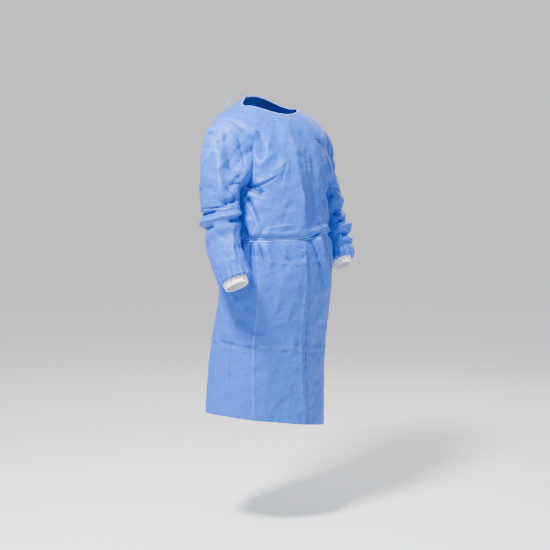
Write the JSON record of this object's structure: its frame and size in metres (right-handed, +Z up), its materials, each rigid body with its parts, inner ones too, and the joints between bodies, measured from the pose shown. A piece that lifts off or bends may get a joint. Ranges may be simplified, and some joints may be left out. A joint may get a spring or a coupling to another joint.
{
  "type": "surgical gown",
  "caption": "Long-sleeved non-woven surgical gown in its worn shape, hollow, tied at the nape and at the back of the waist, with knitted cuffs.",
  "frame": {"origin": "between the shoulders, level with the neckline at the sides of the neck, where the wearer's shoulders hold the gown up", "axes": "+Z up, the front of the gown faces -Y, +X to the wearer's left"},
  "size_m": [0.6327, 0.3819, 1.188],
  "materials": {
    "gown_cloth": "soft sheen",
    "binding_cloth": "matte",
    "cuff_knit": "matte"
  },
  "bodies": {
    "root": {"front_panel": "gown_cloth", "back_panel_left": "gown_cloth", "back_panel_right": "gown_cloth", "sleeve_right": "gown_cloth", "sleeve_left": "gown_cloth", "belt": "gown_cloth", "belt_knot": "gown_cloth", "belt_end_right": "gown_cloth", "belt_end_left": "gown_cloth", "neck_binding": "binding_cloth", "neck_knot": "binding_cloth", "neck_loop_right": "binding_cloth", "neck_loop_left": "binding_cloth", "neck_end_right": "binding_cloth", "neck_end_left": "binding_cloth", "cuff_right": "cuff_knit", "cuff_left": "cuff_knit"}
  },
  "joints": []
}
